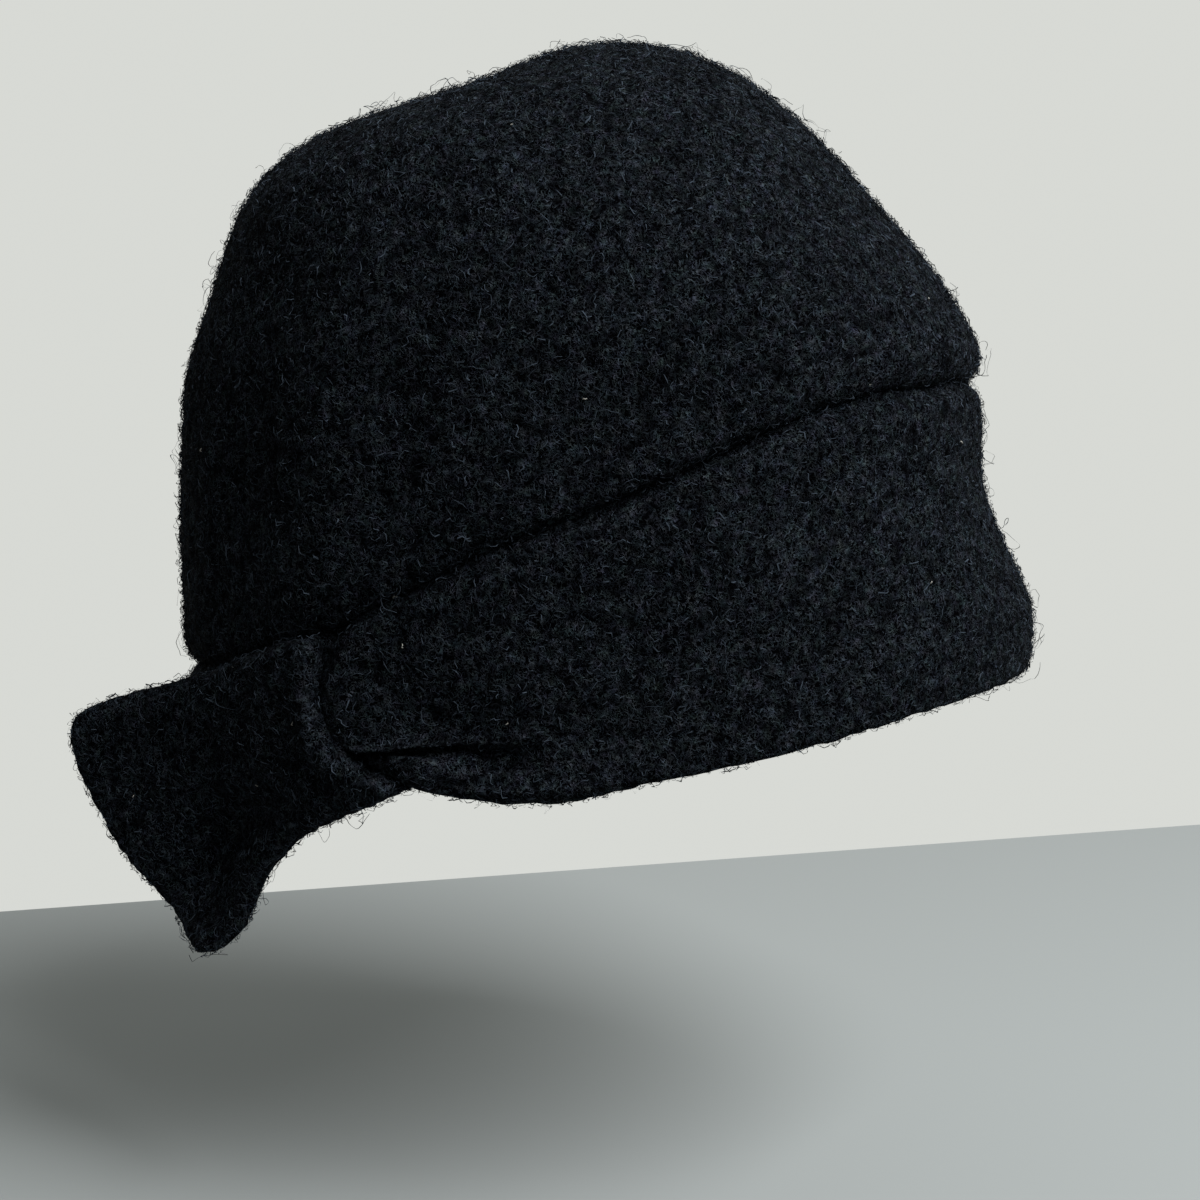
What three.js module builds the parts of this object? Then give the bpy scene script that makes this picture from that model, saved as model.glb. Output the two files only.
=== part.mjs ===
// A soft cloche-style hat of black boiled wool: a domed crown, a deep brim band that flares at the front,
// and a flared bow tail that wraps over the band's gathered end at the wearer's right rear.
// Millimetres, +Z up. The hat's front faces -Y and the wearer's right is -X.
// The origin is the middle of the head opening.
import * as THREE from "three";

// Cloth
const CROWN_CLOTH = 3; // one layer of boiled wool
const BAND_CLOTH = 5.5; // two layers, turned at the rim
const TAIL_CLOTH = 6.5; // two layers with a soft fold between them
const SEAM_GAP = 0.4; // kept between the crown's lower lip and the band's upper lip

// Crown
const CROWN_TOP = 184; // above the head opening
const CREASE_INSET = 3.8; // how far the seam lies inside the crown's widest wall
const CROWN_ROLL = 9; // height over which the crown rounds in to the seam
const LIP_CLOTH = 3; // both lips are one layer thick where they meet

// Band
const BAND_BULGE = 4; // how far the band swells out below the seam
const BAND_ROLL = 8; // height over which it does so
const RIM_FRONT = -124.5;
const RIM_BACK = 106;
const RIM_HALF_WIDTH = 90.5;
const RIM_FULLNESS = 2.2;

// Bow tail: a plane that touches the band where the ridge crosses it
const TAIL_ROOT = new THREE.Vector3(-81, 60, 15);
const TAIL_TURN = 27; // degrees from straight back towards the middle
const TAIL_DROP = 32; // degrees below level
const TAIL_CORNER = 7; // how far its two free corners are rounded off
const TAIL_CORNER_SHARE = 0.13; // of its width, at each corner

// Mesh
const COLUMNS = 72;
const CROWN_ROWS = 16;
const CROWN_INNER_ROWS = 12;
const BAND_ROWS = 9;
const BAND_INNER_ROWS = 6;

// Level sections of the crown. half_width is to each side, and a fullness of 2 is an ellipse.
const CROWN_SECTIONS = table("below_top front back half_width fullness", [
  [0, -10, -10, 0, 2],
  [2, -24, 6.5, 20.5, 2],
  [5, -33, 17, 32, 2],
  [10, -43, 29, 44, 2.02],
  [15, -50.5, 43.5, 52, 2.05],
  [20, -57, 62, 58.5, 2.08],
  [30, -67.5, 83.5, 68, 2.15],
  [42, -78, 92, 76, 2.2],
  [57, -91, 96.5, 82.5, 2.25],
  [70, -101, 101.5, 86, 2.25],
  [82, -107.5, 106.5, 88, 2.25],
  [105, -108, 110, 88.5, 2.25],
  [130, -108, 111.5, 88.5, 2.25],
  [172, -107, 111.5, 87, 2.25],
]);

// Heights of the seam and of the rim. The azimuth is 0 at the front, 90 at the side and 180 at the back.
const BAND_HEIGHTS = table("azimuth seam rim", [
  [0, 93.5, 15.5],
  [25, 94.5, 17],
  [45, 93, 15],
  [58, 89.5, 11.8],
  [72, 80.5, 6.8],
  [90, 64, -0.5],
  [105, 50.5, -3.5],
  [118, 38, -2.5],
  [132, 29, -1.5],
  [150, 21.5, -4.5],
  [180, 16, -8],
]);

// How the band passes from the seam, fall 0, to the rim, fall 1. reach is the share of the way out.
const BAND_FLARE = table("fall reach", [
  [0, 0],
  [0.3, 0.02],
  [0.44, 0.17],
  [0.57, 0.42],
  [0.72, 0.8],
  [0.85, 1],
  [1, 0.98],
]);

// Folds and dents. depth is outwards, length and width are where a fold has faded, and lean is its slope.
const FOLDS = {
  crown: table("azimuth height length width lean depth", [
    [122, 72, 34, 13, 82, 2.6],
    [112, 78, 30, 12, 80, -2.2],
    [139, 68, 46, 15, 88, -3],
    [180, 118, 40, 34, 0, 1.2],
    [168, 166, 30, 24, 0, -2],
    [-128, 74, 40, 16, 84, -2.4],
    [-112, 80, 36, 14, 84, 1.8],
  ]),
  band: table("azimuth height length width lean depth", [
    [109, 10, 32, 5.5, 5, -4.8],
    [104, 1, 34, 6.5, 2, 1.6],
    [128, 26, 12, 10, 80, -3.2],
    [144, 14, 34, 26, 0, -8],
    [76, 50, 22, 14, 10, 1.4],
    [70, 31, 30, 12, 8, -2],
    [-110, 14, 34, 12, 5, -1.5],
  ]),
};

// Stations of the tail from its ridge to its free end, on its own plane: along it and down across it.
// Each station bows away from the ridge at mid width. set_in is towards the head, and the valley is a
// crease that lies at a share of the way down. curl lifts the upper edge, and flap the lower one.
const TAIL_STATIONS = table(
  "top_along top_down low_along low_down bow set_in valley valley_at curl flap",
  [
    [-6, -19.5, -8.5, 24, 12, 1.9, 0, 0.7, 0, -1.5],
    [4, -23, 2, 23, 11, 0, 0, 0.7, 0, -1],
    [19, -26.5, 15.5, 20.5, 9, 2, 1.5, 0.72, -2, 0],
    [34, -29, 29, 19.6, 7, 5, 5, 0.74, -1, 3],
    [47, -32, 40.5, 22, 6.5, 7, 9, 0.76, 0, 7],
    [60, -35.5, 51.5, 28.5, 7, 7, 11, 0.78, 1, 10],
    [72, -38.5, 62, 34.5, 8, 6, 10, 0.82, 2, 12],
    [81, -38.5, 74, 33, 7.5, 5, 8, 0.85, 3, 13],
  ],
);

// Rows of numbers made into rows of named values.
function table(columns, rows) {
  const names = columns.split(" ");
  return rows.map((row) => Object.fromEntries(row.map((value, i) => [names[i], value])));
}

// The value of a column at a key, on a smooth curve through the rows that overshoots none of them.
function read(rows, key, column, at) {
  const last = rows.length - 1;
  const x = (i) => rows[i][key];
  const y = (i) => rows[i][column];
  const slope = (i) => (y(i + 1) - y(i)) / (x(i + 1) - x(i));
  const tangent = (i) => {
    if (i === 0) return slope(0);
    if (i === last) return slope(last - 1);
    const before = slope(i - 1);
    const after = slope(i);
    return before * after <= 0 ? 0 : (2 * before * after) / (before + after);
  };
  const spot = Math.min(Math.max(at, x(0)), x(last));
  let i = 0;
  while (i < last - 1 && spot > x(i + 1)) i += 1;
  const step = x(i + 1) - x(i);
  const t = (spot - x(i)) / step;
  return (
    y(i) * (1 + 2 * t) * (1 - t) ** 2 +
    y(i + 1) * t ** 2 * (3 - 2 * t) +
    tangent(i) * step * t * (1 - t) ** 2 +
    tangent(i + 1) * step * t ** 2 * (t - 1)
  );
}

// A point of an oval round the head, at an azimuth in degrees that grows from the front to the right.
function oval(azimuth, z, { front, back, half_width, fullness }) {
  const angle = THREE.MathUtils.degToRad(azimuth);
  const share = (value) => Math.sign(value) * Math.abs(value) ** (2 / fullness);
  const middle = (front + back) / 2;
  return new THREE.Vector3(
    -half_width * share(Math.sin(angle)),
    middle - ((back - front) / 2) * share(Math.cos(angle)),
    z,
  );
}

// The outward normal of a skin, which is a function of an azimuth and a second value that grows upwards.
function normalOf(skin, azimuth, value, step) {
  const across = skin(azimuth + 1, value).sub(skin(azimuth - 1, value));
  const up = skin(azimuth, value + step).sub(skin(azimuth, value - step));
  return up.cross(across).normalize();
}

// The sum of the folds of a piece at an azimuth and height.
function foldDepth(folds, azimuth, z) {
  const MM_PER_DEGREE = 1.72;
  let depth = 0;
  for (const fold of folds) {
    const turn = ((azimuth - fold.azimuth + 540) % 360) - 180;
    const lean = THREE.MathUtils.degToRad(fold.lean);
    const dx = turn * MM_PER_DEGREE;
    const dz = z - fold.height;
    const along = dx * Math.cos(lean) - dz * Math.sin(lean);
    const beside = dx * Math.sin(lean) + dz * Math.cos(lean);
    depth += fold.depth * Math.exp(-((along / fold.length) ** 2) - (beside / fold.width) ** 2);
  }
  return depth;
}

const seamHeight = (azimuth) => read(BAND_HEIGHTS, "azimuth", "seam", Math.abs(azimuth));
const rimHeight = (azimuth) => read(BAND_HEIGHTS, "azimuth", "rim", Math.abs(azimuth));

// The crown's outer form without its lower roll and folds.
function crownForm(azimuth, z) {
  const rows = CROWN_SECTIONS.map((row) => ({ ...row, key: Math.sqrt(row.below_top) }));
  const key = Math.sqrt(Math.max(CROWN_TOP - z, 0));
  const at = (column) => read(rows, "key", column, key);
  return oval(azimuth, z, {
    front: at("front"),
    back: at("back"),
    half_width: at("half_width"),
    fullness: at("fullness"),
  });
}

// The level outward direction of the crown's form.
function levelNormal(azimuth, z) {
  const across = crownForm(azimuth + 1, z).sub(crownForm(azimuth - 1, z));
  return new THREE.Vector3(-across.y, across.x, 0).normalize();
}

// A point of the crown at a height over the seam, a depth inside its outer form.
function crownPoint(azimuth, over, depth) {
  const z = seamHeight(azimuth) + over;
  const level = levelNormal(azimuth, z);
  const round = Math.min(over / (1.5 * CROWN_ROLL), 1);
  const nearTop = z > CROWN_TOP - 1;
  const steep = nearTop ? new THREE.Vector3(0, 0, 1) : normalOf(crownForm, azimuth, z, 0.5);
  const out = level.lerp(steep, round).normalize();
  const fold = foldDepth(FOLDS.crown, azimuth, z) * Math.min(over / CROWN_ROLL, 1);
  return crownForm(azimuth, z).addScaledVector(out, fold - depth);
}

// How far the crown's outer face has rounded in at a height over the seam.
function rollInset(over) {
  const left = Math.max(1 - over / CROWN_ROLL, 0);
  return CREASE_INSET * (1 - Math.sqrt(1 - left ** 2));
}

// How far its inner face has, more gently.
function innerInset(over) {
  const left = Math.max(1 - over / (1.6 * CROWN_ROLL), 0);
  return CROWN_CLOTH + CREASE_INSET * left ** 2 * (3 - 2 * left);
}

// A point on the seam's crease.
function creasePoint(azimuth) {
  const z = seamHeight(azimuth);
  return crownForm(azimuth, z).addScaledVector(levelNormal(azimuth, z), -CREASE_INSET);
}

// The band's outer form at a fall from 0 at the seam to 1 at the rim, without its bulge and folds.
function bandForm(azimuth, fall) {
  const rim = oval(azimuth, rimHeight(azimuth), {
    front: RIM_FRONT,
    back: RIM_BACK,
    half_width: RIM_HALF_WIDTH,
    fullness: RIM_FULLNESS,
  });
  const crease = creasePoint(azimuth);
  const z = THREE.MathUtils.lerp(crease.z - SEAM_GAP, rim.z + BAND_CLOTH / 2, fall);
  return crease.lerp(rim, read(BAND_FLARE, "fall", "reach", fall)).setZ(z);
}

// A point of the band a depth inside its outer face, in layers that grow from the lip's to the full cloth.
function bandPoint(azimuth, fall, inside) {
  const form = bandForm(azimuth, fall);
  const below = seamHeight(azimuth) - SEAM_GAP - form.z;
  const left = Math.max(1 - below / BAND_ROLL, 0);
  const level = levelNormal(azimuth, seamHeight(azimuth));
  const rise = 1 - THREE.MathUtils.clamp(fall, 0.03, 0.97);
  const steep = normalOf((a, v) => bandForm(a, 1 - v), azimuth, rise, 0.02);
  const out = level.lerp(steep, 1 - left).normalize();
  const reach = read(BAND_FLARE, "fall", "reach", fall);
  const bulge = BAND_BULGE * Math.sqrt(1 - left ** 2) * (1 - reach);
  const cloth = THREE.MathUtils.lerp(LIP_CLOTH, BAND_CLOTH, 1 - left);
  const fold = foldDepth(FOLDS.band, azimuth, form.z) * (1 - left);
  return form.addScaledVector(out, bulge + fold - inside * cloth);
}

// A ring of points round the head, or a single point where the ring has closed.
const AZIMUTHS = Array.from({ length: COLUMNS }, (_, i) => (i * 360) / COLUMNS - 180);
const ring = (point) => AZIMUTHS.map(point);

// A closed body skinned over rings. It ends in two single points, or joins its last ring to its first.
function ringBody(rings, joined) {
  const points = [];
  const firsts = rings.map((r) => {
    const first = points.length;
    points.push(...r);
    return first;
  });
  const index = [];
  const pairs = rings.slice(1).map((_, i) => [i, i + 1]);
  if (joined) pairs.push([rings.length - 1, 0]);
  for (const [a, b] of pairs) {
    for (let i = 0; i < COLUMNS; i += 1) {
      const next = (i + 1) % COLUMNS;
      const at = (k, j) => firsts[k] + (rings[k].length === 1 ? 0 : j);
      if (rings[a].length > 1) index.push(at(a, i), at(a, next), at(b, i));
      if (rings[b].length > 1) index.push(at(a, next), at(b, next), at(b, i));
    }
  }
  return body(points, index);
}

// A geometry of points and triangles.
function body(points, index) {
  const geometry = new THREE.BufferGeometry().setFromPoints(points);
  geometry.setIndex(index);
  geometry.computeVertexNormals();
  return geometry;
}

// Heights over the seam, a few close ones for the roll and then even steps along the dome.
function crownSteps(azimuth, rows, close) {
  const whole = CROWN_TOP - seamHeight(azimuth);
  const start = Math.asin(close.at(-1) / whole);
  const dome = Array.from({ length: rows - 1 }, (_, i) =>
    whole * Math.sin(THREE.MathUtils.lerp(start, Math.PI / 2, (i + 1) / rows)));
  return [...close, ...dome];
}

function makeCrown() {
  const LIP_STEPS = [0, 0.5, 2, 5, CROWN_ROLL];
  const INNER_STEPS = [0, 6, 1.6 * CROWN_ROLL];
  const outer = LIP_STEPS.length + CROWN_ROWS - 1;
  const inner = INNER_STEPS.length + CROWN_INNER_ROWS - 1;
  const outerRing = (row) => ring((azimuth) => {
    const over = crownSteps(azimuth, CROWN_ROWS, LIP_STEPS)[row];
    return crownPoint(azimuth, over, rollInset(over));
  });
  const innerRing = (row) => ring((azimuth) => {
    const over = crownSteps(azimuth, CROWN_INNER_ROWS, INNER_STEPS)[row];
    return crownPoint(azimuth, over, innerInset(over));
  });
  const top = CROWN_SECTIONS[0].front;
  const rings = [[new THREE.Vector3(0, top, CROWN_TOP)]];
  for (let row = outer - 1; row >= 0; row -= 1) rings.push(outerRing(row));
  for (let row = 0; row < inner; row += 1) rings.push(innerRing(row));
  rings.push([new THREE.Vector3(0, top, CROWN_TOP - CROWN_CLOTH)]);
  return ringBody(rings, false);
}

function makeBand() {
  const LIP_FALLS = [0, 0.5, 2, 4.5];
  const LIP_SHARE = 0.14; // of the band's fall, taken up by the lip's close rings
  const RIM_ARC = [45, 90, 135];
  const lipRing = (below) => ring((azimuth) =>
    bandPoint(azimuth, below / (seamHeight(azimuth) - rimHeight(azimuth) - BAND_CLOTH / 2), 0));
  const rings = LIP_FALLS.map(lipRing);
  for (let row = 0; row <= BAND_ROWS; row += 1) {
    const fall = THREE.MathUtils.lerp(LIP_SHARE, 1, row / BAND_ROWS);
    rings.push(ring((azimuth) => bandPoint(azimuth, fall, 0)));
  }
  for (const degrees of RIM_ARC) {
    const angle = THREE.MathUtils.degToRad(degrees);
    rings.push(ring((azimuth) => {
      const turned = bandPoint(azimuth, 1, (1 - Math.cos(angle)) / 2);
      return turned.setZ(turned.z - (Math.sin(angle) * BAND_CLOTH) / 2);
    }));
  }
  for (let row = BAND_INNER_ROWS; row >= 0; row -= 1) {
    rings.push(ring((azimuth) => bandPoint(azimuth, row / BAND_INNER_ROWS, 1)));
  }
  return ringBody(rings, true);
}

// A point on the tail's middle sheet at a station share along it and a share down across it.
function tailPoint(along, down) {
  const rows = TAIL_STATIONS.map((row, i) => ({ ...row, key: i / (TAIL_STATIONS.length - 1) }));
  const at = (column) => read(rows, "key", column, along);
  const VALLEY_WIDTH = 0.2;
  const valley = at("valley") * Math.exp(-(((down - at("valley_at")) / VALLEY_WIDTH) ** 2));
  const flap = at("flap") * Math.max((down - 0.55) / 0.45, 0) ** 1.5;
  const curl = at("curl") * (1 - down) ** 3;
  const corner = Math.max(1 - Math.min(down, 1 - down) / TAIL_CORNER_SHARE, 0);
  const x =
    THREE.MathUtils.lerp(at("top_along"), at("low_along"), down) +
    4 * at("bow") * down * (1 - down) -
    TAIL_CORNER * along ** 3 * (1 - Math.sqrt(1 - corner ** 2));
  const y = THREE.MathUtils.lerp(at("top_down"), at("low_down"), down);
  return tailPlace(x, y, flap + curl - valley - at("set_in"));
}

// A place on the tail's plane, in the hat's frame.
function tailPlace(along, down, out) {
  const turn = THREE.MathUtils.degToRad(TAIL_TURN);
  const drop = THREE.MathUtils.degToRad(TAIL_DROP);
  const outward = new THREE.Vector3(-Math.cos(turn), Math.sin(turn), 0);
  const forward = new THREE.Vector3(Math.sin(turn), Math.cos(turn), 0)
    .multiplyScalar(Math.cos(drop))
    .setZ(-Math.sin(drop));
  const across = outward.clone().cross(forward).normalize();
  return TAIL_ROOT.clone()
    .addScaledVector(forward, along)
    .addScaledVector(across, down)
    .addScaledVector(outward, out);
}

// A padded sheet: two faces that meet in a rounded edge all round.
function makeTail() {
  const EDGE = 0.06;
  const along = [0, 0.012, 0.045, 0.12, 0.22, 0.32, 0.42, 0.52, 0.62, 0.72, 0.82, 0.91, 0.965, 0.992, 1];
  const down = [0, 0.015, 0.06, 0.16, 0.28, 0.4, 0.5, 0.6, 0.68, 0.76, 0.84, 0.92, 0.965, 0.99, 1];
  const round = (share) => {
    const left = Math.max(1 - Math.min(share, 1 - share) / EDGE, 0);
    return Math.sqrt(1 - left ** 2);
  };
  const points = [];
  const index = [];
  const faces = [1, -1].map((side) => along.map((a) => down.map((d) => {
    const half = (TAIL_CLOTH / 2) * round(a) * round(d);
    if (half === 0 && side < 0) return null;
    const near = (value) => THREE.MathUtils.clamp(value, 0.03, 0.97);
    const normal = normalOf((p, q) => tailPoint(near(a) + p * 0.01, near(d) - q), 0, 0, 0.01);
    points.push(tailPoint(a, d).addScaledVector(normal, side * half));
    return points.length - 1;
  })));
  const at = (side, i, j) => faces[side][i][j] ?? faces[0][i][j];
  const last = along.length - 1;
  for (let i = 0; i < last; i += 1) {
    for (let j = 0; j < last; j += 1) {
      const places = [[i, j], [i + 1, j], [i + 1, j + 1], [i, j + 1]];
      const corners = (side) => places.map(([row, column]) => at(side, row, column));
      // Each square is cut through the sheet's nearest corner, so no cut joins two edges of the sheet.
      const cut = i < last / 2 === j < last / 2 ? [0, 1, 2, 0, 2, 3] : [0, 1, 3, 1, 2, 3];
      const front = corners(0);
      const back = corners(1);
      index.push(...cut.map((k) => front[k]));
      index.push(...cut.toReversed().map((k) => back[k]));
    }
  }
  return body(points, index);
}

const boiledWool = new THREE.MeshStandardMaterial({ color: 0x17191d, roughness: 1, metalness: 0 });

const hat = new THREE.Group();
const pieces = { crown: makeCrown, band: makeBand, bow_tail: makeTail };
for (const [name, make] of Object.entries(pieces)) {
  const mesh = new THREE.Mesh(make(), boiledWool);
  mesh.name = name;
  hat.add(mesh);
}

export default hat;
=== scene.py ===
"""A black boiled-wool hat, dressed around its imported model: the felt of the crown, the brim band and the
bow tail, the curled fibres that stand off it, and a plain stage."""

import math

import bmesh
import bpy
from mathutils import Matrix, Vector, noise
from mathutils.bvhtree import BVHTree


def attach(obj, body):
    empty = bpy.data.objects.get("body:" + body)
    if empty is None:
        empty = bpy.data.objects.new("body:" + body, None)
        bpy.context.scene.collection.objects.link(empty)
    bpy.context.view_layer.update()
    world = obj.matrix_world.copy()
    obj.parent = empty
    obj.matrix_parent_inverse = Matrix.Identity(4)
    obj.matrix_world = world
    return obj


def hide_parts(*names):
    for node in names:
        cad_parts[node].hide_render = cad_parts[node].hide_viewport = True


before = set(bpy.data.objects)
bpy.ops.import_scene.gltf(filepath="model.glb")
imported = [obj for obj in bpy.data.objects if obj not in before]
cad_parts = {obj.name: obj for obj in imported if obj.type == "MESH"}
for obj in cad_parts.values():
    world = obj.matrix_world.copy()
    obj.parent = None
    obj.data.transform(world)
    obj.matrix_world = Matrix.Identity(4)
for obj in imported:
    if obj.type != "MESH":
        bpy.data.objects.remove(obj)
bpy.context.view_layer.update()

bl_info = {
    "name": "Boiled Wool Hat",
    "version": (1, 0, 0),
    "blender": (4, 5, 0),
    "location": "View3D > Sidebar > Wool Hat",
    "description": "Felts a cloche-style hat, raises its nap and sets it on a plain stage",
    "category": "Add Mesh",
}

MM = 0.001
OUTSIDE = "outside"  # face attribute: 1 where the felt shows when the hat is worn
SHADE = "fibre_shade"  # how light a fibre is, from 0 to 1
SEEDS_APART = 10  # from one piece of fibres to the next, because each draws several times
# A Mix node's colour sockets, which share their names with others
COLOUR_A, COLOUR_B, COLOUR_RESULT = 6, 7, 2

MIDDLE = Vector((0, 0, 0.06))  # the middle of the hollow, which tells the outer wall from the inner
COARSE_FACE = 1.2 * MM  # side of a face above which it is split once more where it shows

# The bow tail's plane, as in the CAD: its root, and the ways along it, down across it and out of it
TAIL_ROOT = Vector((-81, 60, 15)) * MM
TAIL_ALONG = Vector((0.385, 0.756, -0.530))
TAIL_ACROSS = Vector((-0.241, -0.472, -0.848))
TAIL_OUTWARD = Vector((-0.891, 0.454, 0))

# Of a bell, the numbers are its middle and its width. Of a stretch, they are where it starts, is full,
# wanes and ends.

# The ridge at the tail's root, in millimetres on that plane
RIDGE_TOP = -19.5  # across the plane, where the ridge starts
RIDGE_LENGTH = 43.5
RIDGE_START = -6  # along the plane, where the ridge starts
RIDGE_SLANT = -2.5  # and how much further forward it ends
RIDGE_BOW = 12  # how far it bows back at its middle
RIDGE_STRETCH = (-21, -12, 10, 22)  # down across the plane
RIDGE_BELL = (2.6, 2.3)  # the ridge's swell, behind its front edge
DIP_BELL = (10, 5)  # the dip behind the swell
DIP_SHARE = 0.7  # how deep that dip is, as a share of the ridge's height

# How the band meets the ridge, in millimetres: places beside it, and heights out of the tail's plane
EDGE_HEIGHT = -2.9  # the band's cloth at the ridge
EDGE_LIFT = 2.2  # how much higher it is just beside the ridge
EDGE_STRETCH = (-20, -7, 22, 30)  # down across the plane
NOTCH_DEPTH = 2.2  # the dip at the ridge's upper end, next to the seam
NOTCH_BELL = (2.5, 2.5)
NOTCH_END = (-14, -4)  # down across the plane, where the notch fades out

# The tuck in the band's gathered end, in millimetres: places down from its upper edge and towards the rear
TUCK_REAR = 50  # where the edge's height is given
TUCK_HEIGHT = 7.2  # of its upper edge there
TUCK_RISE = 0.07  # how much higher that edge is for each millimetre forward
TUCK_STRETCH = (2, 24, 47, 57)
TUCK_SQUEEZE = 0.4  # how much closer to the edge all of it lies at the rear
TUCK_BULGE = 0.8  # how much of the tuck the cloth fills again, as a share of its depth
BULGE_BELL = (7.2, 2.1)
FOLD_SHARE = 0.5  # how high the fold above the edge is, as a share of the tuck's depth
FOLD_BELL = (-2.2, 2.4)
RIM_FILL = 2.2  # how far the rim below the tuck stands out
RIM_STRETCH = (-16, 8, 18, 42)

# The pull of the stitches along the seam
SEAM_REACH = 5 * MM  # how far from the seam the cloth moves at all
SEAM_WIDTH = 2.4 * MM  # within which most of the pull fades
SEAM_WANDER = 1.2 * MM  # how far the seam strays up and down
WANDER_SIZE = 7 * MM
PULL_SIZE = 9 * MM  # spacing of the harder and softer pulls
SEAM_GAP = 0.04 * MM  # what stays open between pieces that are sewn together


def linear(hex_colour):
    """An sRGB hex colour such as #17191d as the linear colour that a shader takes."""
    parts = [int(hex_colour[i : i + 2], 16) / 255 for i in (1, 3, 5)]
    return (*[c / 12.92 if c <= 0.04045 else ((c + 0.055) / 1.055) ** 2.4 for c in parts], 1)


def colour_property(name, description, hex_colour):
    """A colour setting, whose default is given as sRGB hex."""
    return bpy.props.FloatVectorProperty(
        name=name, description=description, default=linear(hex_colour), size=4, min=0, max=1,
        subtype="COLOR")


def length_property(name, description, millimetres):
    """A length setting, whose default is given in millimetres."""
    return bpy.props.FloatProperty(
        name=name, description=description, default=millimetres * MM, min=0, unit="LENGTH",
        subtype="DISTANCE")


def angle_property(name, description, degrees):
    """An angle setting, whose default is given in degrees."""
    return bpy.props.FloatProperty(
        name=name, description=description, default=math.radians(degrees), unit="ROTATION")


def add(tree, kind, inputs=None, **settings):
    """Adds a node with its settings. An input is a value, or a (node, output) pair to link from."""
    node = tree.nodes.new(kind)
    for name, value in settings.items():
        setattr(node, name, value)
    for key, value in (inputs or {}).items():
        if isinstance(value, tuple) and isinstance(value[0], bpy.types.Node):
            tree.links.new(value[0].outputs[value[1]], node.inputs[key])
        else:
            node.inputs[key].default_value = value
    return node


def new_material(name):
    """A material with an empty node tree, its shader and its output."""
    material = bpy.data.materials.new(name)
    material.use_nodes = True
    tree = material.node_tree
    tree.nodes.clear()
    shader = add(tree, "ShaderNodeBsdfPrincipled")
    add(tree, "ShaderNodeOutputMaterial", {"Surface": (shader, "BSDF")})
    return material, tree, shader


class WoolHatFelt(bpy.types.PropertyGroup):
    """Colours and relief of the boiled wool."""

    # painted shade: the near-black between the fibres is the wool's own black deepened into the shade that
    # falls in the gaps
    gap_shade_colour: colour_property("Deep colour", "Between the fibres", "#000001")
    face_colour: colour_property("Face colour", "The matted fibres", "#3d454d")
    curl_size: length_property("Curl size", "Spacing of the matted curls", 1.2)
    clump_size: length_property("Clump size", "Spacing of denser and looser places", 4.2)
    tint_size: length_property("Tint size", "Spacing of the fibres' slight changes of colour", 2.4)
    nub_size: length_property("Nub size", "Spacing of the felt's nubs", 3.5)
    nub_height: length_property("Nub height", "Height of the felt's nubs", 0.55)
    sag_size: length_property("Sag size", "Spacing of the cloth's soft waves", 26)
    sag_height: length_property("Sag height", "Height of the cloth's soft waves", 0.7)
    gather_depth: length_property("Gather depth", "Depth of the tuck in the band's gathered end", 4.0)
    seam_depth: length_property("Seam depth", "How much deeper the cloth is drawn in along the seam", 1.3)
    ridge_height: length_property("Ridge height", "Height of the ridge at the bow tail's root", 1.8)
    ridge_fill: length_property("Ridge fill", "How far beside the ridge the band is drawn up to it", 24)


class WoolHatNap(bpy.types.PropertyGroup):
    """Fibres that stand off the felt."""

    dark_colour: colour_property("Dark fibre", "Most fibres", "#030406")
    # partly painted highlight: the lightest fibres are paler fibres and also stand in for fibres that catch
    # the light
    pale_and_glint_colour: colour_property("Light fibre", "The lightest fibres", "#3b444e")
    lint_colour: colour_property("Lint", "Stray specks of pale lint", "#c3c2bb")
    radius: length_property("Hair radius", "Half the width of a stray hair", 0.05)
    ribbon: length_property("Curl width", "Width of a short curl", 0.17)
    length: length_property("Curl length", "Length of a short curl", 2.6)
    stray_length: length_property("Stray length", "Length of a stray hair", 7)
    curls: bpy.props.IntProperty(
        name="Curls", description="Short curls on a full nap piece", default=20000, min=0)
    strays: bpy.props.IntProperty(
        name="Stray hairs", description="Stray hairs on the whole hat", default=900, min=0)
    lint: bpy.props.IntProperty(
        name="Specks of lint", description="Specks of lint on the whole hat", default=40, min=0)
    seed: bpy.props.IntProperty(name="Seed", description="Seed of every random draw", default=7)


class WoolHatStage(bpy.types.PropertyGroup):
    """Floor, lights and camera."""

    floor_drop: length_property("Floor drop", "From the head opening down to the floor", 126)
    floor_size: length_property("Floor size", "Depth of the plain table top, which is twice as wide", 510)
    floor_turn: angle_property("Floor turn", "How far the table top is turned", 14)
    floor_colour: colour_property("Floor colour", "The plain floor", "#989d9d")
    wall_colour: colour_property("Wall colour", "The plain backdrop and its soft light", "#e9ebe6")
    distance: length_property("Camera distance", "From the camera to the point it looks at", 525)
    pitch: angle_property("Camera pitch", "How far the camera looks down", 8.5)
    lens: bpy.props.FloatProperty(
        name="Lens", description="Focal length in millimetres, on a 36 mm sensor", default=55.5, min=1)


def outward(face):
    """Whether a face of a hollow piece looks away from the middle of the hat."""
    return face.normal.dot((face.calc_center_median() - MIDDLE).normalized()) > 0.05


def settle(obj):
    """Replaces an object's mesh with what its modifiers give, and takes them off."""
    depsgraph = bpy.context.evaluated_depsgraph_get()
    made = bpy.data.meshes.new_from_object(obj.evaluated_get(depsgraph))
    old = obj.data
    obj.modifiers.clear()
    obj.data = made
    bpy.data.meshes.remove(old)


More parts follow.
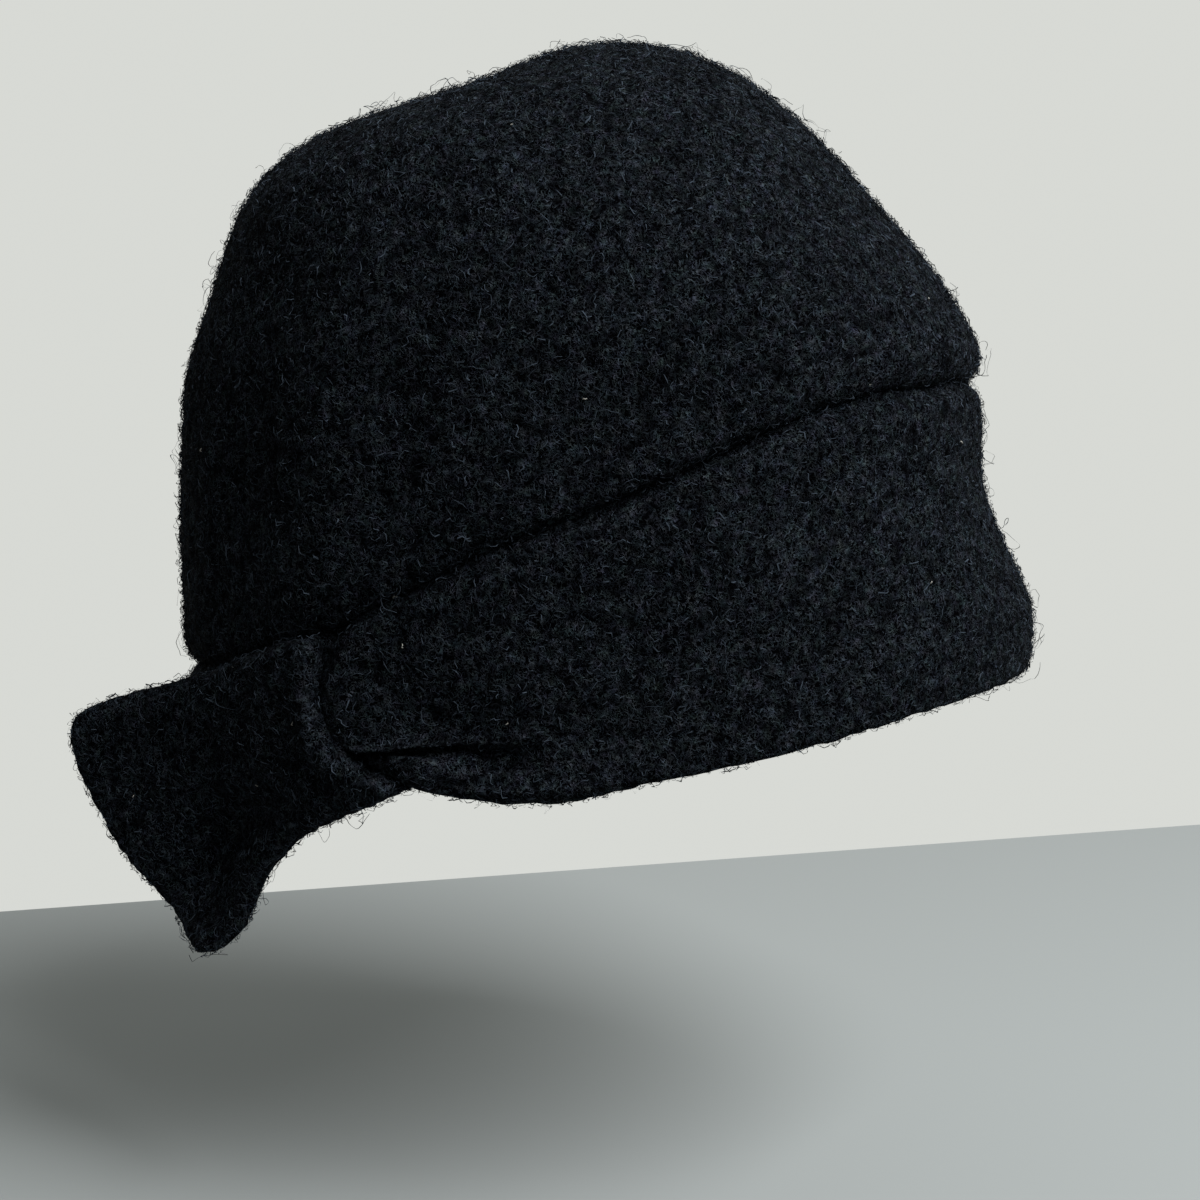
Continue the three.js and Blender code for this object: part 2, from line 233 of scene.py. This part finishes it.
def felt_from(node, name, levels):
    """A finer copy of a CAD node's surface, as one smooth closed mesh."""
    bm = bmesh.new()
    bm.from_mesh(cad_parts[node].data)
    bmesh.ops.remove_doubles(bm, verts=bm.verts, dist=0.005 * MM)
    bmesh.ops.join_triangles(
        bm, faces=bm.faces, angle_face_threshold=math.radians(70), angle_shape_threshold=math.radians(80))
    mesh = bpy.data.meshes.new(name)
    bm.to_mesh(mesh)
    bm.free()
    felt = bpy.data.objects.new(name, mesh)
    bpy.context.scene.collection.objects.link(felt)
    rounding = felt.modifiers.new("rounding", "SUBSURF")
    rounding.levels = rounding.render_levels = levels
    settle(felt)
    return felt


def smooth(low, high, value):
    """A smooth step from 0 at low to 1 at high."""
    t = min(max((value - low) / (high - low), 0), 1)
    return t * t * (3 - 2 * t)


def between(value, start, full, waning, end):
    """1 from full to waning, and smoothly down to 0 at start and end."""
    return smooth(start, full, value) * (1 - smooth(waning, end, value))


def bell(value, middle, width):
    """A bell that is 1 at its middle, about a third at its width from there, and soon 0."""
    return math.exp(-(((value - middle) / width) ** 2))


def relief(place, settings):
    """How far a point of the felt stands out: soft waves of the cloth, and nubs of two sizes."""
    sag = noise.noise(place / settings.sag_size)
    nub = noise.noise(place / settings.nub_size) + 0.5 * noise.noise(place / (0.5 * settings.nub_size))
    return settings.sag_height * sag + settings.nub_height * nub


def on_tail_plane(place):
    """How far a place is along the bow tail's plane, down across it and out of it, in millimetres."""
    from_root = (place - TAIL_ROOT) / MM
    return from_root.dot(TAIL_ALONG), from_root.dot(TAIL_ACROSS), from_root.dot(TAIL_OUTWARD)


def ridge_at(down):
    """How far along the bow tail's plane its ridge lies, in millimetres, at a distance down across it."""
    share = (down - RIDGE_TOP) / RIDGE_LENGTH
    return RIDGE_START + RIDGE_SLANT * share + 4 * RIDGE_BOW * share * (1 - share)


def meet_ridge(place, settings):
    """How far the band moves out beside the ridge, in millimetres: up to it along most of its length, and
    in at its upper end."""
    along, down, out = on_tail_plane(place)
    beside = ridge_at(down) - along
    fill = settings.ridge_fill / MM
    # Only the outer wall, in front of the ridge and along its length
    if not (-2 < beside < fill and -22 < down < 30 and out > -25):
        return 0
    edge = EDGE_HEIGHT + EDGE_LIFT * smooth(-0.3, 2.4, beside)
    near = min(max(beside / 2 + 1, 0), 1) ** 2 * (1 - smooth(3, fill, beside))
    notch = bell(beside, *NOTCH_BELL) * (1 - smooth(*NOTCH_END, down))
    return max(edge - out, 0) * near * between(down, *EDGE_STRETCH) - NOTCH_DEPTH * notch


def gather(place, settings):
    """How far the band's gathered end moves out, in millimetres: a low fold, the tuck under it that runs
    forward from the ridge, a bulge in the tuck, and the rim that fills out below."""
    y, z = place.y / MM, place.z / MM
    # Only the lower part of the band's rear right
    if not (-20 < y < 66 and z < 26 and place.x < 0):
        return 0
    below = TUCK_HEIGHT + TUCK_RISE * (TUCK_REAR - y) - z
    down = below / (1 - TUCK_SQUEEZE * smooth(28, 42, y))
    tuck = smooth(-0.6, 0.6, below) * (1 - TUCK_BULGE * bell(down, *BULGE_BELL))
    # It ends below, and a little of it stays towards the front
    tuck *= 1 - smooth(6, 9, down) * (0.8 + 0.2 * smooth(26, 36, y))
    fold = FOLD_SHARE * bell(below, *FOLD_BELL)
    rim = RIM_FILL * smooth(8.5, 10, below) * between(y, *RIM_STRETCH)
    return between(y, *TUCK_STRETCH) * (fold - tuck) * settings.gather_depth / MM + rim


def draw_up(place, settings):
    """How far the band moves out at a place of its gathered end."""
    return (meet_ridge(place, settings) + gather(place, settings)) * MM


def pinch(place, settings):
    """How far the bow tail moves out at a place: up along its ridge, and in behind it."""
    along, down, _ = on_tail_plane(place)
    behind = along - ridge_at(down)
    swell = settings.ridge_height * bell(behind, *RIDGE_BELL)
    dip = DIP_SHARE * settings.ridge_height * bell(behind, *DIP_BELL)
    return between(down, *RIDGE_STRETCH) * (swell - dip)


def faces_wall(vertex):
    """1 on the walls of a hollow piece, and 0 on its lips, which meet their neighbours as they are."""
    return smooth(0.15, 0.4, abs(vertex.normal.dot((vertex.co - MIDDLE).normalized())))


def raise_nubs(obj, settings, hollow, shape=None):
    """Splits a hollow piece's coarse outer faces, shapes a piece where a shape is given, raises its relief,
    and marks the faces that show."""
    bm = bmesh.new()
    bm.from_mesh(obj.data)
    if hollow:
        coarse = {f for f in bm.faces if outward(f) and f.calc_area() > COARSE_FACE**2}
        edges = [e for e in bm.edges if any(f in coarse for f in e.link_faces)]
        bmesh.ops.subdivide_edges(bm, edges=edges, cuts=1, use_grid_fill=True)
    bm.normal_update()
    if shape:
        shown = {v for f in bm.faces if outward(f) or not hollow for v in f.verts}
        moves = [(v, v.normal * shape(v.co, settings)) for v in shown if v.normal.x < 0.2]
        for vertex, move in moves:
            vertex.co += move
        bm.normal_update()
    moves = [(v, v.normal * relief(v.co, settings) * (faces_wall(v) if hollow else 1)) for v in bm.verts]
    for vertex, move in moves:
        vertex.co += move
    bm.normal_update()
    layer = bm.faces.layers.float.new(OUTSIDE)
    for face in bm.faces:
        face.smooth = True
        face[layer] = 1.0 if not hollow or outward(face) else 0.0
    bm.to_mesh(obj.data)
    bm.free()


def surface_of(obj):
    """The surface of an object without modifiers, as a tree that finds the nearest place on it."""
    mesh = obj.data
    return BVHTree.FromPolygons([v.co for v in mesh.vertices], [face.vertices for face in mesh.polygons])


def press_on(obj, surface, reach):
    """Brings the places of a piece that face a surface, within reach of it, up against it, so that no light
    comes through where the two are sewn."""
    normals = [vertex.normal.copy() for vertex in obj.data.vertices]
    for vertex, facing in zip(obj.data.vertices, normals):
        place, normal, _, _ = surface.find_nearest(vertex.co, reach)
        if place is not None and facing.dot(normal) < -0.5:
            vertex.co = place + SEAM_GAP * normal


def draw_in_seam(upper, lower, depth):
    """Draws two pieces in along the seam between them, as the stitches do, and closes it."""
    surfaces = surface_of(upper), surface_of(lower)
    for obj, other in ((upper, surfaces[1]), (lower, surfaces[0])):
        for vertex in obj.data.vertices:
            place, _, _, gap = other.find_nearest(vertex.co, SEAM_REACH)
            if place is not None:
                inward = Vector((-vertex.co.x, -vertex.co.y, 0)).normalized()
                wander = SEAM_WANDER * noise.noise(vertex.co / WANDER_SIZE) * Vector((0, 0, 1))
                pull = depth * (1 + noise.noise(vertex.co / PULL_SIZE))
                vertex.co += (pull * inward + wander) * bell(gap, 0, SEAM_WIDTH)
    press_on(lower, surface_of(upper), 1.8 * MM)


def curl_lines(tree, place, size, width, turn):
    """Thin curling lines, one layer of matted fibre: the middle contour of a warped noise, which comes and
    goes."""
    shifted = add(tree, "ShaderNodeVectorMath", {0: place, 1: (turn, -turn, 0.7 * turn)}, operation="ADD")
    swirl = add(tree, "ShaderNodeTexNoise", {
        "Vector": (shifted, "Vector"), "Scale": 1 / size, "Detail": 0.6, "Distortion": 0.9})
    from_middle = add(tree, "ShaderNodeMath", {0: (swirl, "Fac"), 1: 0.5}, operation="SUBTRACT")
    off = add(tree, "ShaderNodeMath", {0: (from_middle, "Value")}, operation="ABSOLUTE")
    line = add(tree, "ShaderNodeMapRange", {
        "Value": (off, "Value"), "From Min": width, "From Max": 0.0}, interpolation_type="SMOOTHSTEP")
    fade = add(tree, "ShaderNodeTexNoise", {
        "Vector": (shifted, "Vector"), "Scale": 0.6 / size, "Detail": 1.0})
    fading = add(tree, "ShaderNodeMapRange", {"Value": (fade, "Fac"), "From Min": 0.36, "From Max": 0.62})
    return add(tree, "ShaderNodeMath", {0: (line, "Result"), 1: (fading, "Result")}, operation="MULTIPLY")


def felted(settings):
    """Boiled wool: knitted, then shrunk until the yarn mats into short curls that lie every way. It is
    almost black, quite matt, with a faint bloom of fibre ends at grazing angles."""
    found = bpy.data.materials.get("black_boiled_wool")
    if found:
        return found
    material, tree, shader = new_material("black_boiled_wool")
    place = (add(tree, "ShaderNodeTexCoord"), "Object")
    # Each layer of curls: its size as a share of the curl size, its lines' width, and its shift in metres
    layers = [curl_lines(tree, place, settings.curl_size * share, width, shift)
              for share, width, shift in ((1.0, 0.065, 0.0), (1.35, 0.05, 0.031), (0.85, 0.06, 0.057))]
    upper = add(tree, "ShaderNodeMath", {
        0: (layers[0], "Value"), 1: (layers[1], "Value")}, operation="MAXIMUM")
    curls = add(tree, "ShaderNodeMath", {
        0: (upper, "Value"), 1: (layers[2], "Value")}, operation="MAXIMUM")
    clumps = add(tree, "ShaderNodeTexNoise", {
        "Vector": place, "Scale": 1 / settings.clump_size, "Detail": 2.0, "Roughness": 0.6})
    matted = add(tree, "ShaderNodeMapRange", {
        "Value": (clumps, "Fac"), "From Min": 0.32, "From Max": 0.62, "To Min": 0.15})
    height = add(tree, "ShaderNodeMath", {
        0: (curls, "Value"), 1: (matted, "Result")}, operation="MULTIPLY")
    # Painted shade: where the curls are low, and more so in the looser places, the colour falls to the
    # near-black gap colour, as if shade lay between the fibres
    colour = add(tree, "ShaderNodeMix", {
        "Factor": (height, "Value"), COLOUR_A: settings.gap_shade_colour, COLOUR_B: settings.face_colour},
        data_type="RGBA")
    tints = add(tree, "ShaderNodeTexNoise", {
        "Vector": place, "Scale": 1 / settings.tint_size, "Detail": 1.0})
    tint = add(tree, "ShaderNodeMix", {
        "Factor": 0.25, COLOUR_A: (colour, COLOUR_RESULT), COLOUR_B: (tints, "Color")},
        data_type="RGBA", blend_type="OVERLAY")
    bump = add(tree, "ShaderNodeBump", {
        "Height": (height, "Value"), "Strength": 0.8, "Distance": 0.5 * MM})
    tree.links.new(tint.outputs[COLOUR_RESULT], shader.inputs["Base Color"])
    tree.links.new(bump.outputs["Normal"], shader.inputs["Normal"])
    shader.inputs["Roughness"].default_value = 0.95
    shader.inputs["Specular IOR Level"].default_value = 0.02
    shader.inputs["Sheen Weight"].default_value = 0.005
    shader.inputs["Sheen Roughness"].default_value = 0.5
    shader.inputs["Sheen Tint"].default_value = linear("#8f96a6")
    return material


def fibre_wool(nap):
    """Single wool fibres: each has one tone, and a few are much lighter, partly a paler tone of their own
    and partly a painted highlight for fibres that catch the light.
    """
    material, tree, shader = new_material("wool_fibre")
    shade = add(tree, "ShaderNodeAttribute", attribute_name=SHADE)
    # Painted highlight: a random few fibres are lightened, standing in for those that catch the light, on
    # top of their own differing tone
    few = add(tree, "ShaderNodeMath", {0: (shade, "Fac"), 1: 2.0}, operation="POWER")
    colour = add(tree, "ShaderNodeMix", {
        "Factor": (few, "Value"), COLOUR_A: nap.dark_colour, COLOUR_B: nap.pale_and_glint_colour},
        data_type="RGBA")
    tree.links.new(colour.outputs[COLOUR_RESULT], shader.inputs["Base Color"])
    shader.inputs["Roughness"].default_value = 0.8
    shader.inputs["Specular IOR Level"].default_value = 0.05
    return material


def pale_lint(nap):
    """Specks of pale cotton lint that the wool has picked up."""
    material, tree, shader = new_material("pale_lint")
    place = (add(tree, "ShaderNodeTexCoord"), "Object")
    grain = add(tree, "ShaderNodeTexNoise", {"Vector": place, "Scale": 1 / (0.3 * MM), "Detail": 2.0})
    colour = add(tree, "ShaderNodeMix", {
        "Factor": (grain, "Fac"), COLOUR_A: linear("#77766f"), COLOUR_B: nap.lint_colour}, data_type="RGBA")
    tree.links.new(colour.outputs[COLOUR_RESULT], shader.inputs["Base Color"])
    shader.inputs["Roughness"].default_value = 0.9
    return material


def fibre_nodes(name, density, shape, seed):
    """Geometry nodes that grow bent fibres from the faces marked as outside, as one real mesh. A shape
    with a width is a flat ribbon, and one with a radius is a three-sided tube."""
    tree = bpy.data.node_groups.new(name, "GeometryNodeTree")
    tree.interface.new_socket("Geometry", in_out="INPUT", socket_type="NodeSocketGeometry")
    tree.interface.new_socket("Geometry", in_out="OUTPUT", socket_type="NodeSocketGeometry")
    cloth = add(tree, "NodeGroupInput")
    outside = add(tree, "GeometryNodeInputNamedAttribute", {"Name": OUTSIDE}, data_type="FLOAT")
    roots = add(tree, "GeometryNodeDistributePointsOnFaces", {
        "Mesh": (cloth, "Geometry"), "Selection": (outside, "Attribute"), "Density": density, "Seed": seed})
    half, lift, wave = shape["length"] / 2, shape["lift"], shape["wave"]
    centre_line = add(tree, "GeometryNodeCurvePrimitiveBezierSegment", {
        "Resolution": shape["segments"], "Start": (-half, 0, -0.2 * MM),
        "Start Handle": (-0.7 * half, 0.9 * half, lift), "End Handle": (0.4 * half, -0.9 * half, 1.3 * lift),
        "End": (0.9 * half, 0.3 * half, 0.3 * lift)})
    if "width" in shape:
        section = add(tree, "GeometryNodeCurvePrimitiveLine", {
            "Start": (-shape["width"] / 2, 0, 0), "End": (shape["width"] / 2, 0, 0)})
    else:
        section = add(tree, "GeometryNodeCurvePrimitiveCircle", {
            "Resolution": 3, "Radius": shape["radius"]})
    fibre = add(tree, "GeometryNodeCurveToMesh", {
        "Curve": (centre_line, "Curve"), "Profile Curve": (section, "Curve"), "Fill Caps": True})
    turn = add(tree, "FunctionNodeRandomValue", {"Min": 0.0, "Max": math.tau, "Seed": seed + 1})
    about = add(tree, "FunctionNodeAxisAngleToRotation", {"Axis": (0, 0, 1), "Angle": (turn, "Value")})
    lean = add(tree, "FunctionNodeRandomValue", {
        "Min": -shape["lean"], "Max": shape["lean"], "Seed": seed + 2})
    tilt = add(tree, "FunctionNodeAxisAngleToRotation", {"Axis": (0, 1, 0), "Angle": (lean, "Value")})
    spun = add(tree, "FunctionNodeRotateRotation", {
        "Rotation": (roots, "Rotation"), "Rotate By": (about, "Rotation")}, rotation_space="LOCAL")
    placed = add(tree, "FunctionNodeRotateRotation", {
        "Rotation": (spun, "Rotation"), "Rotate By": (tilt, "Rotation")}, rotation_space="LOCAL")
    size = add(tree, "FunctionNodeRandomValue", {"Min": 0.5, "Max": 1.3, "Seed": seed + 3})
    fibres = add(tree, "GeometryNodeInstanceOnPoints", {
        "Points": (roots, "Points"), "Instance": (fibre, "Mesh"), "Rotation": (placed, "Rotation"),
        "Scale": (size, "Value")})
    tone = add(tree, "FunctionNodeRandomValue", {"Min": 0.0, "Max": 1.0, "Seed": seed + 4})
    toned = add(tree, "GeometryNodeStoreNamedAttribute", {
        "Geometry": (fibres, "Instances"), "Name": SHADE, "Value": (tone, "Value")},
        data_type="FLOAT", domain="INSTANCE")
    real = add(tree, "GeometryNodeRealizeInstances", {"Geometry": (toned, "Geometry")})
    place = add(tree, "GeometryNodeInputPosition")
    sway = add(tree, "ShaderNodeTexNoise", {
        "Vector": (place, "Position"), "Scale": 1 / wave, "Detail": 0.5})
    centred = add(tree, "ShaderNodeVectorMath", {
        0: (sway, "Color"), 1: (0.5, 0.5, 0.5)}, operation="SUBTRACT")
    offset = add(tree, "ShaderNodeVectorMath", {
        0: (centred, "Vector"), "Scale": shape["sway"] * wave}, operation="SCALE")
    bent = add(tree, "GeometryNodeSetPosition", {
        "Geometry": (real, "Geometry"), "Offset": (offset, "Vector")})
    add(tree, "NodeGroupOutput", {0: (bent, "Geometry")})
    return tree


def shown_area(obj):
    """Area in square metres of an object's faces that are marked as outside."""
    marks = obj.data.attributes[OUTSIDE].data
    return sum(face.area for face in obj.data.polygons if marks[face.index].value > 0.5)


def grow(cloth, name, material, shape, count, seed):
    """A piece of fibres on a felt piece, riding with it."""
    fibres = bpy.data.objects.new(name, cloth.data.copy())
    bpy.context.scene.collection.objects.link(fibres)
    growth = fibres.modifiers.new("growth", "NODES")
    tree = fibre_nodes(name, count / shown_area(cloth), shape, seed)
    growth.node_group = tree
    settle(fibres)
    bpy.data.node_groups.remove(tree)
    fibres.data.materials.clear()
    fibres.data.materials.append(material)
    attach(fibres, "root")
    return fibres


class WOOLHAT_OT_crown(bpy.types.Operator):
    """Felts the crown"""

    bl_idname = "woolhat.crown"
    bl_label = "Felt the Crown"

    def execute(self, context):
        settings = context.scene.wool_hat_felt
        felt = felt_from("crown", "crown_felt", 2)
        raise_nubs(felt, settings, True)
        felt.data.materials.append(felted(settings))
        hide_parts("crown")
        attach(felt, "root")
        return {"FINISHED"}


class WOOLHAT_OT_band(bpy.types.Operator):
    """Felts the brim band"""

    bl_idname = "woolhat.band"
    bl_label = "Felt the Band"

    def execute(self, context):
        settings = context.scene.wool_hat_felt
        felt = felt_from("band", "band_felt", 2)
        raise_nubs(felt, settings, True, draw_up)
        draw_in_seam(bpy.data.objects["crown_felt"], felt, settings.seam_depth)
        felt.data.materials.append(felted(settings))
        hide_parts("band")
        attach(felt, "root")
        return {"FINISHED"}


class WOOLHAT_OT_bow_tail(bpy.types.Operator):
    """Felts the bow tail"""

    bl_idname = "woolhat.bow_tail"
    bl_label = "Felt the Bow Tail"

    def execute(self, context):
        settings = context.scene.wool_hat_felt
        felt = felt_from("bow_tail", "tail_felt", 3)
        raise_nubs(felt, settings, False, pinch)
        press_on(felt, surface_of(bpy.data.objects["band_felt"]), 1.6 * MM)
        felt.data.materials.append(felted(settings))
        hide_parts("bow_tail")
        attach(felt, "root")
        return {"FINISHED"}


class WOOLHAT_OT_nap(bpy.types.Operator):
    """Raises the nap: short curls all over the felt, a few stray hairs, and specks of lint"""

    bl_idname = "woolhat.nap"
    bl_label = "Raise the Nap"

    def execute(self, context):
        nap = context.scene.wool_hat_nap
        # lift is a fibre's height over the felt, wave the spacing of its bends, and lean an angle in radians
        curl = {"length": nap.length, "lift": 0.4 * MM, "wave": 1.5 * MM, "sway": 1.8, "segments": 4,
                "lean": 0.2, "width": nap.ribbon}
        fuzz = {"length": 1.1 * nap.length, "lift": 0.9 * MM, "wave": 1.6 * MM, "sway": 1.6, "segments": 4,
                "lean": 0.8, "width": 0.7 * nap.ribbon}
        stray = {"length": nap.stray_length, "lift": 2.6 * MM, "wave": 4.5 * MM, "sway": 1.4, "segments": 14,
                 "lean": 0.6, "radius": nap.radius}
        speck = {"length": 0.9 * MM, "lift": 0.4 * MM, "wave": 1 * MM, "sway": 0.8, "segments": 4,
                 "lean": 0.4, "radius": 0.17 * MM}
        wool, lint = fibre_wool(nap), pale_lint(nap)
        # Cloth, piece, material, shape and number of fibres
        rows = (
            ("crown_felt", "crown_curls", wool, curl, nap.curls),
            ("crown_felt", "crown_fuzz", wool, fuzz, nap.curls),
            ("band_felt", "band_curls", wool, curl, 0.5 * nap.curls),
            ("band_felt", "band_fuzz", wool, fuzz, 0.4 * nap.curls),
            ("tail_felt", "tail_curls", wool, curl, 0.12 * nap.curls),
            ("tail_felt", "tail_fuzz", wool, fuzz, 0.2 * nap.curls),
            ("crown_felt", "crown_strays", wool, stray, 0.6 * nap.strays),
            ("band_felt", "band_strays", wool, stray, 0.3 * nap.strays),
            ("tail_felt", "tail_strays", wool, stray, 0.1 * nap.strays),
            ("crown_felt", "crown_lint", lint, speck, 0.4 * nap.lint),
            ("band_felt", "band_lint", lint, speck, 0.2 * nap.lint),
            ("tail_felt", "tail_lint", lint, speck, 0.4 * nap.lint),
        )
        for row, (cloth, name, material, shape, count) in enumerate(rows):
            grow(bpy.data.objects[cloth], name, material, shape, count, nap.seed + SEEDS_APART * row)
        return {"FINISHED"}


def area_light(name, place, target, size, power, colour):
    """A soft square lamp at a place, facing a target."""
    lamp = bpy.data.lights.new(name, "AREA")
    lamp.size = size
    lamp.energy = power
    lamp.color = linear(colour)[:3]
    holder = bpy.data.objects.new(name, lamp)
    holder.location = place
    holder.rotation_euler = (target - place).to_track_quat("-Z", "Y").to_euler()
    bpy.context.scene.collection.objects.link(holder)


class WOOLHAT_OT_stage(bpy.types.Operator):
    """Sets the plain pale floor, the soft lights and the camera"""

    bl_idname = "woolhat.stage"
    bl_label = "Set the Stage"

    def execute(self, context):
        stage = context.scene.wool_hat_stage
        bm = bmesh.new()
        bmesh.ops.create_grid(bm, x_segments=1, y_segments=1, size=stage.floor_size / 2)
        wider = Matrix.Scale(2, 4, (0, 1, 0))
        turned = Matrix.Rotation(stage.floor_turn, 4, "Z")
        down = Matrix.Translation((0, 0, -stage.floor_drop))
        bmesh.ops.transform(bm, verts=bm.verts, matrix=down @ turned @ wider)
        mesh = bpy.data.meshes.new("floor")
        bm.to_mesh(mesh)
        bm.free()
        floor = bpy.data.objects.new("floor", mesh)
        context.scene.collection.objects.link(floor)
        material, _, shader = new_material("pale_floor")
        shader.inputs["Base Color"].default_value = stage.floor_colour
        shader.inputs["Roughness"].default_value = 0.8
        mesh.materials.append(material)

        context.scene.view_settings.view_transform = "Standard"
        world = bpy.data.worlds.new("studio")
        world.use_nodes = True
        tree = world.node_tree
        tree.nodes.clear()
        # The backdrop is bright on the hat's left, and lights it only faintly from its own right
        bright_side = Vector((1, -0.1, 0.1)).normalized()
        way = add(tree, "ShaderNodeTexCoord")
        towards = add(tree, "ShaderNodeVectorMath", {
            0: (way, "Generated"), 1: bright_side}, operation="DOT_PRODUCT")
        brightness = add(tree, "ShaderNodeMapRange", {
            "Value": (towards, "Value"), "From Min": -0.1, "From Max": 0.75, "To Min": 0.15, "To Max": 0.84})
        glow = add(tree, "ShaderNodeBackground", {
            "Color": stage.wall_colour, "Strength": (brightness, "Result")})
        add(tree, "ShaderNodeOutputWorld", {"Surface": (glow, "Background")})
        context.scene.world = world

        key_place = Vector((-0.62, -0.86, 1.22))  # high in front, on the hat's right
        crown_middle = Vector((0, 0, 0.08))
        area_light("key", key_place, crown_middle, size=1.0, power=42, colour="#ffffff")

        target = Vector((0, -0.004, 0.032))
        camera = bpy.data.objects.new("camera", bpy.data.cameras.new("camera"))
        camera.data.lens = stage.lens
        camera.data.sensor_width = 36
        camera.data.clip_start = 0.01
        back = Vector((-math.cos(stage.pitch), 0, math.sin(stage.pitch)))
        camera.location = target + stage.distance * back
        camera.rotation_euler = (-back).to_track_quat("-Z", "Y").to_euler()
        context.scene.collection.objects.link(camera)
        context.scene.camera = camera
        return {"FINISHED"}


class WOOLHAT_PT_panel(bpy.types.Panel):
    """Steps and sizes of the hat, in the sidebar"""

    bl_label = "Wool Hat"
    bl_idname = "WOOLHAT_PT_panel"
    bl_space_type = "VIEW_3D"
    bl_region_type = "UI"
    bl_category = "Wool Hat"

    def draw(self, context):
        layout = self.layout
        for operator in OPERATORS:
            layout.operator(operator.bl_idname)
        for attribute in GROUPS:
            group = getattr(context.scene, attribute)
            box = layout.box()
            for name in group.__annotations__:
                box.prop(group, name)


GROUPS = {"wool_hat_felt": WoolHatFelt, "wool_hat_nap": WoolHatNap, "wool_hat_stage": WoolHatStage}
OPERATORS = (WOOLHAT_OT_crown, WOOLHAT_OT_band, WOOLHAT_OT_bow_tail, WOOLHAT_OT_nap, WOOLHAT_OT_stage)


def register():
    for group in GROUPS.values():
        bpy.utils.register_class(group)
    for name, group in GROUPS.items():
        setattr(bpy.types.Scene, name, bpy.props.PointerProperty(type=group))
    for operator in OPERATORS:
        bpy.utils.register_class(operator)
    bpy.utils.register_class(WOOLHAT_PT_panel)


def unregister():
    bpy.utils.unregister_class(WOOLHAT_PT_panel)
    for operator in reversed(OPERATORS):
        bpy.utils.unregister_class(operator)
    for name in GROUPS:
        delattr(bpy.types.Scene, name)
    for group in reversed(GROUPS.values()):
        bpy.utils.unregister_class(group)


def main():
    """Registers the add-on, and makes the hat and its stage."""
    register()
    bpy.ops.woolhat.crown()
    bpy.ops.woolhat.band()
    bpy.ops.woolhat.bow_tail()
    bpy.ops.woolhat.nap()
    bpy.ops.woolhat.stage()


if __name__ == "__main__":
    main()
